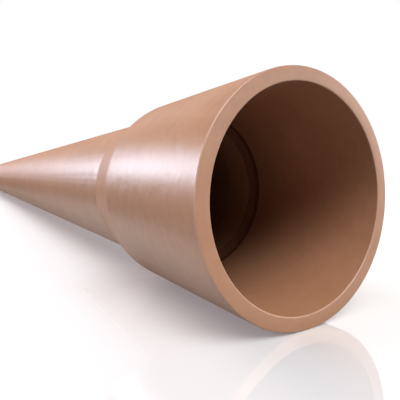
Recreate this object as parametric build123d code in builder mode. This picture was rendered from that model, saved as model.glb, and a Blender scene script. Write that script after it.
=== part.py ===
"""Solvent-weld PVC water pipe, nominal size 32, one bar with a belled socket.

The pipe lies along X. The origin is on the axis at the stop inside the socket,
where the end of the next pipe comes to rest. +X points out of the socket's
mouth and +Z is up. Sizes are in millimetres.
"""
import os

from build123d import *

# Pipe barrel
bar_length = 3000.0
pipe_diameter = 32.0
wall = 2.1

# Belled socket that takes the next pipe's plain end
socket_clearance = 0.2
socket_depth = 30.0
bell_wall = 2.1

# Rounding of the mouth's two edges, bore side and outside
mouth_inner_radius = 0.18
mouth_outer_radius = 0.22

# Shoulder outside, where the bell comes down to the barrel
shoulder_gap = 1.9
shoulder_length = 13.1
shoulder_crest_radius = 12.0
shoulder_foot_radius = 18.0

# Stop inside, and the throat that narrows from it to the barrel's bore
stop_height = 1.35
stop_run = 0.7
throat_length = 5.8

# Chamfer on the plain end
spigot_chamfer_length = 2.4
spigot_chamfer_height = 0.65

pipe_radius = pipe_diameter / 2
bore_radius = pipe_radius - wall
socket_radius = pipe_radius + socket_clearance / 2
bell_radius = socket_radius + bell_wall
plain_end = socket_depth - bar_length
shoulder_end = -shoulder_gap - shoulder_length
throat_end = -stop_run - throat_length

# Half section beside the axis, turned about it: from the stop out through the socket,
# round the mouth and along the outside, then back from the plain end inside
with BuildPart() as pipe:
    with BuildSketch():
        with BuildLine():
            socket_to_barrel = FilletPolyline(
                (0, socket_radius),
                (socket_depth, socket_radius),
                (socket_depth, bell_radius),
                (-shoulder_gap, bell_radius),
                (shoulder_end, pipe_radius),
                (plain_end / 2, pipe_radius),
                radius=[
                    mouth_inner_radius,
                    mouth_outer_radius,
                    shoulder_crest_radius,
                    shoulder_foot_radius,
                ],
            )
            Polyline(
                socket_to_barrel @ 1,
                (plain_end + spigot_chamfer_length, pipe_radius),
                (plain_end, pipe_radius - spigot_chamfer_height),
                (plain_end, bore_radius),
                (throat_end, bore_radius),
                (-stop_run, socket_radius - stop_height),
                socket_to_barrel @ 0,
            )
        make_face()
    revolve(axis=Axis.X)

pipe.part.label = "pipe"
os.makedirs("parts", exist_ok=True)
export_step(pipe.part, "parts/pipe.step")
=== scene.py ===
"""Looks for the PVC water pipe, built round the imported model.

The pipe lies along X, its mouth faces +X and +Z is up. The origin is on the axis
at the stop inside the socket. The sizes below are in millimetres, and the ranges
after them, for finishes and floor, are in metres, Blender's own unit.
"""

from math import acos, cos, degrees, hypot, pi, radians, sin, tan

import bpy
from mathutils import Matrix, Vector


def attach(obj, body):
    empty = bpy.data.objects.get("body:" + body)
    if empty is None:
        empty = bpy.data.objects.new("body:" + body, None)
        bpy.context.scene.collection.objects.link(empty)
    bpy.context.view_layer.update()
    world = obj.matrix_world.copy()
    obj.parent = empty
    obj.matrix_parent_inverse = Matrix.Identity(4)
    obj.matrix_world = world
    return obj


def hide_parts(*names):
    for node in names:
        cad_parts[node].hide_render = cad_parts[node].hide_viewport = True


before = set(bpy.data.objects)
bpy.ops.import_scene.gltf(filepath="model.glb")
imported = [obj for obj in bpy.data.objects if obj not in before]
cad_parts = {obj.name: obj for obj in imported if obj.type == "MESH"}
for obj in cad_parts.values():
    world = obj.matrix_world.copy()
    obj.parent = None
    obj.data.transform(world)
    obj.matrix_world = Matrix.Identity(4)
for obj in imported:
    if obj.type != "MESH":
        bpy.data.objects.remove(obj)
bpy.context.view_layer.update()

MM = 0.001

# Pipe and socket
BAR_LENGTH = 3000.0
PIPE_RADIUS = 16.0
WALL = 2.1
SOCKET_CLEARANCE = 0.2
SOCKET_DEPTH = 30.0
BELL_WALL = 2.1
CHAMFER_LENGTH = 2.4
CHAMFER_HEIGHT = 0.65

BORE_RADIUS = PIPE_RADIUS - WALL
SOCKET_RADIUS = PIPE_RADIUS + SOCKET_CLEARANCE / 2
BELL_RADIUS = SOCKET_RADIUS + BELL_WALL
PLAIN_END = SOCKET_DEPTH - BAR_LENGTH

# Shoulder outside, with a shallow groove at its foot
SHOULDER_GAP = 1.9
SHOULDER_LENGTH = 13.1
SHOULDER_END = -SHOULDER_GAP - SHOULDER_LENGTH
GROOVE_BOTTOM = SHOULDER_END - 0.4
GROOVE_END = SHOULDER_END - 2.8
GROOVE_DEPTH = 0.07

# Stop and throat inside
STOP_RUN = 0.7
STOP_HEIGHT = 1.35
THROAT_LENGTH = 5.8
THROAT_END = -STOP_RUN - THROAT_LENGTH

# Roundings of the section's corners
MOUTH_EDGE_ROUNDING = 0.22
MOUTH_INNER_ROUNDING = 0.18
CREST_ROUNDING = 12.0
GROOVE_BOTTOM_ROUNDING = 8.0
GROOVE_END_ROUNDING = 10.0
CHAMFER_ROUNDING = 0.5
CUT_EDGE_ROUNDING = 0.08
CUT_BORE_ROUNDING = 0.12
THROAT_ROUNDING = 4.0
STOP_CREST_ROUNDING = 0.3
STOP_FOOT_ROUNDING = 0.15

# Fineness of the mesh: faces round the pipe, and about the longest step along it
SEGMENTS = 288
RING_STEP = 40.0

# How far a face may lie off a cut end, or off the mouth's rounded edges, and still belong to them
CUT_TOLERANCE = 0.02
EDGE_TOLERANCE = 0.01

# Painted shade: a darker ring at the stop, from the crest of the stop out along the socket
STOP_SHADE_START = -STOP_RUN
STOP_SHADE_END = 1.0
STOP_SHADE_EDGE = 0.25

# From here on metres. Each pair is a range over which something fades in.
# Along X: the barrel's own relief outside, and inside, the full colour coming back from the painted
# shade towards each end
BARREL_X = (-0.009, -0.017)
LIT_AT_MOUTH_X = (-0.016, 0.029)
LIT_AT_PLAIN_END_X = (-2.90, -2.965)

FLOOR_Z = -BELL_RADIUS * MM
FLOOR_HALF = 60.0

# The floor is polished where these three hold, and matt elsewhere
POLISHED_FRONT_Y = (-0.065, -0.038)
POLISHED_BACK_Y = (0.30, 0.05)
POLISHED_AHEAD_X = (0.09, 0.047)

# Its polish goes from dull to a mirror towards the mouth
MIRROR_X = (-0.020, 0.012)

# but it stays dull beside the bell, where these two hold
BESIDE_BELL_Y = (-0.014, -0.027)
BESIDE_BELL_X = (0.034, 0.024)

# Painted shadow: it glows less in front of the mouth, where these three hold
MOUTH_BACK_Y = (0.003, -0.005)
MOUTH_FRONT_Y = (-0.018, -0.008)
MOUTH_AHEAD_X = (0.027, 0.034)

# In the pipe's own polish it is white from the front's dark part on
WHITE_NEAR_Y = (-0.041, -0.030)

# but shaded close under the bell, where none of these holds. The first is a distance from the axis
ASIDE_OF_BELL = (0.008, 0.024)
BEHIND_BELL_X = (0.0, -0.015)
PAST_MOUTH_X = (0.029, 0.036)


# Geometry

def rounded(corners):
    """Points along a line of (x, r, rounding, steps) corners, each corner rounded."""
    points = []
    for i, (x, r, radius, steps) in enumerate(corners):
        if radius == 0:
            points.append((x, r))
            continue
        corner = Vector((x, r))
        before = (Vector(corners[i - 1][:2]) - corner).normalized()
        after = (Vector(corners[i + 1][:2]) - corner).normalized()
        half = acos(max(-1.0, min(1.0, before.dot(after)))) / 2
        reach = radius / tan(half)
        centre = corner + (before + after).normalized() * (radius / sin(half))
        start = corner + before * reach - centre
        end = corner + after * reach - centre
        turn = pi - 2 * half
        for k in range(steps + 1):
            t = k / steps
            a = sin((1 - t) * turn) / sin(turn)
            b = sin(t * turn) / sin(turn)
            points.append(tuple(centre + start * a + end * b))
    return points


def stations(points, step):
    """The same line with more points on its long straight runs."""
    dense = [points[0]]
    for (x0, r0), (x1, r1) in zip(points, points[1:]):
        parts = max(1, round(hypot(x1 - x0, r1 - r0) / step))
        for k in range(1, parts + 1):
            t = k / parts
            dense.append((x0 + (x1 - x0) * t, r0 + (r1 - r0) * t))
    return dense


def turned(name, profile):
    """A mesh made by turning a closed line of (x, r) in millimetres about the X axis."""
    verts = []
    for x, r in profile:
        for s in range(SEGMENTS):
            angle = 2 * pi * s / SEGMENTS
            verts.append((x * MM, -r * MM * sin(angle), r * MM * cos(angle)))
    faces = []
    rings = len(profile)
    for i in range(rings):
        a, b = i * SEGMENTS, (i + 1) % rings * SEGMENTS
        for s in range(SEGMENTS):
            t = (s + 1) % SEGMENTS
            faces.append((a + s, b + s, b + t, a + t))
    mesh = bpy.data.meshes.new(name)
    mesh.from_pydata(verts, [], faces)
    mesh.update()
    mesh.polygons.foreach_set("use_smooth", [True] * len(mesh.polygons))
    obj = bpy.data.objects.new(name, mesh)
    bpy.context.scene.collection.objects.link(obj)
    return obj


# The section's line starts on the rim's flat face, goes back along the outside, round the
# plain end, and out again along the bore and the socket
rim_start = (SOCKET_DEPTH, SOCKET_RADIUS + 1.0, 0, 0)
section = rounded([
    # x, r, rounding, steps of the rounding
    rim_start,
    (SOCKET_DEPTH, BELL_RADIUS, MOUTH_EDGE_ROUNDING, 8),
    (-SHOULDER_GAP, BELL_RADIUS, CREST_ROUNDING, 12),
    (GROOVE_BOTTOM, PIPE_RADIUS - GROOVE_DEPTH, GROOVE_BOTTOM_ROUNDING, 10),
    (GROOVE_END, PIPE_RADIUS, GROOVE_END_ROUNDING, 6),
    (PLAIN_END + CHAMFER_LENGTH, PIPE_RADIUS, CHAMFER_ROUNDING, 4),
    (PLAIN_END, PIPE_RADIUS - CHAMFER_HEIGHT, CUT_EDGE_ROUNDING, 4),
    (PLAIN_END, BORE_RADIUS, CUT_BORE_ROUNDING, 4),
    (THROAT_END, BORE_RADIUS, THROAT_ROUNDING, 8),
    (-STOP_RUN, SOCKET_RADIUS - STOP_HEIGHT, STOP_CREST_ROUNDING, 5),
    (0.0, SOCKET_RADIUS, STOP_FOOT_ROUNDING, 4),
    (SOCKET_DEPTH, SOCKET_RADIUS, MOUTH_INNER_ROUNDING, 6),
    rim_start,
])
profile = stations(section[:-1], RING_STEP)
pipe_wall = turned("pipe_wall", profile)


# Shader nodes

def node(tree, kind, inputs=None, **settings):
    """A new node. Each input, by name or number, gets a value or another node's output."""
    n = tree.nodes.new(kind)
    for key, value in settings.items():
        setattr(n, key, value)
    for key, value in (inputs or {}).items():
        if isinstance(value, bpy.types.NodeSocket):
            tree.links.new(value, n.inputs[key])
        else:
            n.inputs[key].default_value = value
    return n


def calc(tree, operation, first, *others):
    """A math node's result. More than two values are taken in from left to right, by a node each."""
    if not others:
        return node(tree, "ShaderNodeMath", {0: first}, operation=operation).outputs[0]
    for value in others:
        first = node(tree, "ShaderNodeMath", {0: first, 1: value}, operation=operation).outputs[0]
    return first


def vector(tree, operation, a, b):
    """A vector math node's result."""
    second = "Scale" if operation == "SCALE" else 1
    result = "Value" if operation == "DOT_PRODUCT" else "Vector"
    return node(tree, "ShaderNodeVectorMath", {0: a, second: b}, operation=operation).outputs[result]


def weighted(tree, start, *terms):
    """start plus the sum of each (value, weight)."""
    parts = [calc(tree, "MULTIPLY", value, weight) for value, weight in terms]
    return calc(tree, "ADD", *parts, start)


def smooth(tree, value, start, end, at_start=0.0, at_end=1.0):
    """A soft step from at_start to at_end while the value goes from start to end."""
    inputs = {"Value": value, "From Min": start, "From Max": end, "To Min": at_start, "To Max": at_end}
    return node(tree, "ShaderNodeMapRange", inputs, interpolation_type="SMOOTHSTEP").outputs["Result"]


def noise(tree, coords, scale, detail, rough, swirl):
    """Noise round 0, about -1 to 1, with its own frequency along each axis."""
    n = node(tree, "ShaderNodeTexNoise", {
        "Vector": vector(tree, "MULTIPLY", coords, scale),
        "Scale": 1.0,
        "Detail": detail,
        "Roughness": rough,
        "Distortion": swirl,
    })
    return calc(tree, "MULTIPLY", calc(tree, "SUBTRACT", n.outputs["Fac"], 0.5), 3.0)


def mix(tree, factor, a, b):
    """Colour a at factor 0, b at 1."""
    inputs = {"Factor": factor, "A": a, "B": b}
    return node(tree, "ShaderNodeMix", inputs, data_type="RGBA").outputs["Result"]


def blend(tree, factor, a, b):
    """Shader a at factor 0, b at 1."""
    return node(tree, "ShaderNodeMixShader", {"Fac": factor, 1: a, 2: b}).outputs["Shader"]


def facing_away(tree):
    """0 where the surface faces the viewer, 1 where it is seen edge on."""
    return node(tree, "ShaderNodeLayerWeight", {"Blend": 0.5}).outputs["Facing"]


def split(tree, value):
    """The X, Y and Z of a vector, by name."""
    return node(tree, "ShaderNodeSeparateXYZ", {0: value}).outputs


def new_material(name):
    """An empty material, its node tree and the object's coordinates in it."""
    material = bpy.data.materials.new(name)
    material.use_nodes = True
    tree = material.node_tree
    tree.nodes.clear()
    return material, tree, node(tree, "ShaderNodeTexCoord").outputs["Object"]


# PVC

OUTSIDE, CUT, INSIDE, EDGE = 0, 1, 2, 3
FINISHES = [
    # name, place, bump of streaks, bump of wrinkles, roughness, share of the clouds in the tone
    ("pvc_outside", OUTSIDE, 1.1, 1.8, 0.32, 0.55),
    ("pvc_cut_face", CUT, 0.1, 0.1, 0.36, 0.5),
    ("pvc_inside", INSIDE, 0.8, 1.0, 0.36, 0.5),
    ("pvc_edge_highlight_and_scuff", EDGE, 0.1, 0.1, 0.30, 0.3),
]
# Noises: cycles per metre along X, Y and Z, then detail, the detail's share and swirl
STREAKS = ((380.0, 210.0, 210.0), 1.0, 0.5, 0.6)
WRINKLES = ((520.0, 380.0, 380.0), 2.0, 0.5, 0.7)
CLOUDS = ((70.0, 90.0, 90.0), 2.0, 0.5, 0.0)
LINES = ((9.0, 800.0, 800.0), 0.0, 0.5, 0.0)
MOTTLE = ((700.0, 450.0, 450.0), 3.0, 0.6, 0.0)
RINGS = ((60.0, 12.0, 12.0), 3.0, 0.6, 0.0)

# Relief: the height in metres that a noise of 1 has at a bump of 1, and the other bumps
BUMP_HEIGHT = 0.00001
CLOUD_BUMP = 5.0
LINE_BUMP = 1.3
RING_BUMP = 4.0

# Colour, from dark to pale with the tone
MIDDLE_TONE = 0.5
MOTTLE_TONE = 0.45
LINE_TONE = 0.2
DARK, PALE = (0.416, 0.200, 0.110, 1.0), (0.488, 0.244, 0.140, 1.0)
# Paler on the mouth's rounded edges: a painted highlight, partly scuffing
HIGHLIGHT_AND_SCUFF_DARK, HIGHLIGHT_AND_SCUFF_PALE = (0.52, 0.30, 0.21, 1.0), (0.57, 0.34, 0.24, 1.0)
# Painted shade for the inside, deep in from both ends
DEEP_PAINTED_SHADE = (0.190, 0.092, 0.050, 1.0)
# Painted shade on the ring at the stop
STOP_PAINTED_SHADE = (0.120, 0.050, 0.027, 1.0)

# Gloss. Just below SMOOTHEST the denoised render starts to show dark contour marks
ROUGH_STREAKS = 0.012
ROUGH_CLOUDS = 0.014
ROUGH_LINES = 0.006
ROUGH_MOTTLE = 0.008
SMOOTHEST = 0.28
PVC_IOR = 1.5
PVC_SPECULAR = 0.5
# The outside's reflection is dulled by up to this share, as the skin turns edge on
DULLED = 0.75
EDGE_ON = (0.55, 1.0)


def painted_stop_shade(tree, x):
    """1 on the ring at the stop, which gets a painted shade and loses its gloss."""
    return calc(
        tree, "MULTIPLY",
        smooth(tree, x, (STOP_SHADE_START - STOP_SHADE_EDGE) * MM, STOP_SHADE_START * MM),
        smooth(tree, x, (STOP_SHADE_END + STOP_SHADE_EDGE) * MM, STOP_SHADE_END * MM),
    )


def pvc(name, place, streak_bump, wrinkle_bump, rough_base, cloud_tone):
    """Brown rigid PVC: soft clouds in the pigment, streaks round the pipe and fine wrinkles.

    The outside mirrors less at a flat angle than polished plastic does, because its skin is
    finely rough, and its barrel has lines along it and rings round it. Inside, a painted shade
    darkens the colour from both ends inwards, and a darker painted shade, with no gloss, lies on
    a ring at the stop. The rounded edges at the mouth are paler: a painted highlight, partly scuffing.
    """
    material, tree, coords = new_material(name)
    streaks, wrinkles, clouds, lines, mottle = (
        noise(tree, coords, *kind) for kind in (STREAKS, WRINKLES, CLOUDS, LINES, MOTTLE)
    )
    bumps = [(streaks, streak_bump), (wrinkles, wrinkle_bump), (clouds, CLOUD_BUMP)]
    tones = [(clouds, cloud_tone), (mottle, MOTTLE_TONE)]
    x = split(tree, coords)["X"]
    if place == OUTSIDE:
        barrel = smooth(tree, x, *BARREL_X)
        barrel_lines = calc(tree, "MULTIPLY", lines, barrel)
        barrel_rings = calc(tree, "MULTIPLY", noise(tree, coords, *RINGS), barrel)
        bumps += [(barrel_lines, LINE_BUMP), (barrel_rings, RING_BUMP)]
        tones.append((barrel_lines, LINE_TONE))

    dark, pale = (HIGHLIGHT_AND_SCUFF_DARK, HIGHLIGHT_AND_SCUFF_PALE) if place == EDGE else (DARK, PALE)
    colour = mix(tree, weighted(tree, MIDDLE_TONE, *tones), dark, pale)
    # Painted shade inside: darker from both ends inwards, and darker still on the stop's ring
    if place == INSIDE:
        ring = painted_stop_shade(tree, x)
        lit = calc(
            tree, "MAXIMUM", smooth(tree, x, *LIT_AT_MOUTH_X), smooth(tree, x, *LIT_AT_PLAIN_END_X)
        )
        colour = mix(tree, ring, mix(tree, lit, DEEP_PAINTED_SHADE, colour), STOP_PAINTED_SHADE)

    rough = weighted(
        tree, rough_base,
        (streaks, ROUGH_STREAKS), (clouds, ROUGH_CLOUDS), (lines, ROUGH_LINES), (mottle, ROUGH_MOTTLE),
    )
    rough = calc(tree, "MAXIMUM", rough, SMOOTHEST)
    height = weighted(tree, 0.0, *bumps)
    bump = node(tree, "ShaderNodeBump", {"Strength": 1.0, "Distance": BUMP_HEIGHT, "Height": height})

    def skin(specular):
        return node(tree, "ShaderNodeBsdfPrincipled", {
            "Base Color": colour,
            "Roughness": rough,
            "Normal": bump.outputs["Normal"],
            "IOR": PVC_IOR,
            "Specular IOR Level": specular,
        }).outputs["BSDF"]

    if place == OUTSIDE:
        dull = smooth(tree, facing_away(tree), *EDGE_ON, 0.0, DULLED)
        shader = blend(tree, dull, skin(PVC_SPECULAR), skin(0.0))
    elif place == INSIDE:
        shader = skin(smooth(tree, ring, 0.0, 1.0, PVC_SPECULAR, 0.0))
    else:
        shader = skin(PVC_SPECULAR)
    node(tree, "ShaderNodeOutputMaterial", {"Surface": shader})
    return material


for entry in FINISHES:
    pipe_wall.data.materials.append(pvc(*entry))

finish_of_face = []
inside_yet = False
for (x0, _), (x1, _) in zip(profile, profile[1:] + profile[:1]):
    if min(x0, x1) > SOCKET_DEPTH - CUT_TOLERANCE or max(x0, x1) < PLAIN_END + CUT_TOLERANCE:
        finish = CUT
        inside_yet = inside_yet or x1 < 0
    elif min(x0, x1) > SOCKET_DEPTH - MOUTH_EDGE_ROUNDING - EDGE_TOLERANCE:
        finish = EDGE
    else:
        finish = INSIDE if inside_yet else OUTSIDE
    finish_of_face += [finish] * SEGMENTS
pipe_wall.data.polygons.foreach_set("material_index", finish_of_face)
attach(pipe_wall, "root")
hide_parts("pipe")


# Floor

FLOOR_COLOUR = (0.79, 0.79, 0.79, 1.0)
FLOOR_GLOW = (0.145, 0.115, 0.11, 1.0)
# How much of the glow the painted shadow in front of the mouth takes away
PAINTED_MOUTH_SHADOW = 0.6
# What the pipe's matt surfaces get back from the floor
FLOOR_FOR_MATT = (0.09, 0.09, 0.09, 1.0)

MATT_ROUGH = 0.7
DULL_ROUGH = 0.45
MIRROR_ROUGH = 0.02
FLOOR_IOR = 3.0
FLOOR_SPECULAR = 0.5
# It mirrors at a slant and not from above
SLANT = (0.2, 0.5)

# How bright it is in the pipe's polish, against white
FRONT_IN_POLISH = 0.05
SHADED_IN_POLISH = 0.5


def floor_material():
    """White floor that keeps the pipe's shadow, polished round bell and mouth, matt farther off.

    It glows a little, and less in front of the mouth, which is a painted shadow. In the pipe's own
    polish it is plain white near the pipe, half as bright close under the bell, and almost black
    farther in front.
    The pipe's matt surfaces get less light back from the floor than it shows.
    """
    material, tree, coords = new_material("pale_floor")
    place = split(tree, coords)
    x, y = place["X"], place["Y"]
    rays = node(tree, "ShaderNodeLightPath").outputs
    camera_ray = rays["Is Camera Ray"]

    near = calc(
        tree, "MULTIPLY",
        smooth(tree, y, *POLISHED_FRONT_Y),
        smooth(tree, x, *POLISHED_AHEAD_X),
        smooth(tree, y, *POLISHED_BACK_Y),
    )
    beside = calc(
        tree, "MULTIPLY",
        smooth(tree, y, *BESIDE_BELL_Y, 0.0, DULL_ROUGH),
        smooth(tree, x, *BESIDE_BELL_X),
    )
    rough = calc(
        tree, "MAXIMUM",
        smooth(tree, near, 0.0, 1.0, MATT_ROUGH, 0.0),
        smooth(tree, x, *MIRROR_X, DULL_ROUGH, MIRROR_ROUGH),
        beside,
    )
    # Painted shadow in front of the mouth
    painted_mouth_shadow = calc(
        tree, "MULTIPLY",
        smooth(tree, y, *MOUTH_BACK_Y),
        smooth(tree, y, *MOUTH_FRONT_Y),
        smooth(tree, x, *MOUTH_AHEAD_X, 0.0, -PAINTED_MOUTH_SHADOW),
    )
    shown = node(tree, "ShaderNodeBsdfPrincipled", {
        "Base Color": mix(tree, camera_ray, FLOOR_FOR_MATT, FLOOR_COLOUR),
        "Roughness": rough,
        "IOR": FLOOR_IOR,
        "Specular IOR Level": smooth(tree, facing_away(tree), *SLANT, 0.0, FLOOR_SPECULAR),
        "Emission Color": FLOOR_GLOW,
        "Emission Strength": calc(tree, "MULTIPLY", camera_ray, calc(tree, "ADD", painted_mouth_shadow, 1.0)),
    })

    shade = calc(
        tree, "MAXIMUM",
        smooth(tree, calc(tree, "ABSOLUTE", y), *ASIDE_OF_BELL, SHADED_IN_POLISH, 1.0),
        smooth(tree, x, *BEHIND_BELL_X),
        smooth(tree, x, *PAST_MOUTH_X),
    )
    white = calc(tree, "MULTIPLY", smooth(tree, y, *WHITE_NEAR_Y, FRONT_IN_POLISH, 1.0), shade)
    mirrored = node(tree, "ShaderNodeEmission", {"Strength": white})
    in_polish = calc(tree, "MAXIMUM", rays["Is Glossy Ray"], rays["Is Transmission Ray"])
    shader = blend(tree, in_polish, shown.outputs["BSDF"], mirrored.outputs["Emission"])
    node(tree, "ShaderNodeOutputMaterial", {"Surface": shader})
    material.cycles.emission_sampling = "NONE"
    return material


floor_mesh = bpy.data.meshes.new("floor")
floor_mesh.from_pydata(
    [(sx * FLOOR_HALF, sy * FLOOR_HALF, FLOOR_Z) for sx, sy in ((-1, -1), (1, -1), (1, 1), (-1, 1))],
    [], [(0, 1, 2, 3)],
)
floor_mesh.materials.append(floor_material())
floor = bpy.data.objects.new("floor", floor_mesh)
bpy.context.scene.collection.objects.link(floor)


# Studio light, all from the world: soft boxes far away round the pipe

WHITE = (1.0, 1.0, 1.0)
COOL = (0.85, 0.94, 1.13)
LIGHTS = [
    # middle, width, side softness, low, high, edge softness, level, tint
    (-134.0, 36.0, 24.0, 9.0, 22.7, 2.0, 14.9, COOL),
    (-157.4, 36.0, 12.0, 5.3, 14.5, 3.0, 4.05, COOL),
    (-169.4, 16.3, 7.0, 0.4, 3.8, 4.0, 1.65, COOL),
    (140.0, 86.0, 5.0, -8.0, 37.0, 4.0, 1.0, WHITE),
    (55.2, 93.6, 15.0, 2.0, 21.5, 4.0, 3.1, WHITE),
    (-7.7, 43.0, 15.0, 37.0, 73.6, 6.0, 7.4, WHITE),
    (-80.5, 146.0, 20.0, 42.0, 79.3, 8.0, 2.2, WHITE),
]
# The same for the backdrop, which the matt surfaces don't see
BACKDROP = [
    (-30.0, 190.0, 12.0, -8.0, 45.0, 6.0, 0.85, WHITE),
    (0.0, 400.0, 1.0, -20.0, 26.0, 12.0, 0.35, WHITE),
]

world = bpy.data.worlds.new("studio")
bpy.context.scene.world = world
world.use_nodes = True
sky = world.node_tree
sky.nodes.clear()
direction = node(sky, "ShaderNodeTexCoord").outputs["Generated"]


def in_degrees(value):
    return calc(sky, "MULTIPLY", value, degrees(1.0))


elevation = in_degrees(calc(sky, "ARCSINE", split(sky, direction)["Z"]))


def soft_box(azimuth, width, side, low, high, edge, level, tint):
    """Light from a window of the sky, in degrees: its middle and width, its lowest and highest
    elevation, and how soft its sides (side) and its top and bottom (edge) are."""
    az = radians(azimuth)
    across = vector(sky, "DOT_PRODUCT", direction, (-sin(az), cos(az), 0.0))
    towards = vector(sky, "DOT_PRODUCT", direction, (cos(az), sin(az), 0.0))
    off = in_degrees(calc(sky, "ABSOLUTE", calc(sky, "ARCTAN2", across, towards)))
    amount = calc(
        sky, "MULTIPLY",
        smooth(sky, off, width / 2 + side, width / 2 - side),
        smooth(sky, elevation, low - edge, low + edge),
        smooth(sky, elevation, high + edge, high - edge),
    )
    return vector(sky, "SCALE", tuple(level * c for c in tint), amount)


light = soft_box(*LIGHTS[0])
for entry in LIGHTS[1:]:
    light = vector(sky, "ADD", light, soft_box(*entry))
rays = node(sky, "ShaderNodeLightPath").outputs
seen = calc(
    sky, "MAXIMUM", rays["Is Camera Ray"], rays["Is Glossy Ray"], rays["Is Transmission Ray"]
)
for entry in BACKDROP:
    light = vector(sky, "MAXIMUM", light, vector(sky, "SCALE", soft_box(*entry), seen))
background = node(sky, "ShaderNodeBackground", {"Color": light, "Strength": 1.0})
node(sky, "ShaderNodeOutputWorld", {"Surface": background.outputs[0]})


# Camera, as fitted to the outlines of mouth, bell and barrel

camera_data = bpy.data.cameras.new("camera")
camera = bpy.data.objects.new("camera", camera_data)
bpy.context.scene.collection.objects.link(camera)
camera.location = (0.066535, -0.040161, 0.003219)
camera.rotation_euler = (radians(89.996), radians(-0.082), radians(58.107))
camera_data.lens = 34.113
camera_data.sensor_width = 36.0
camera_data.shift_x = -0.00125
camera_data.shift_y = -0.0632
camera_data.clip_start = 0.001
camera_data.clip_end = 200.0
bpy.context.scene.camera = camera

bpy.context.scene.view_settings.view_transform = "Standard"
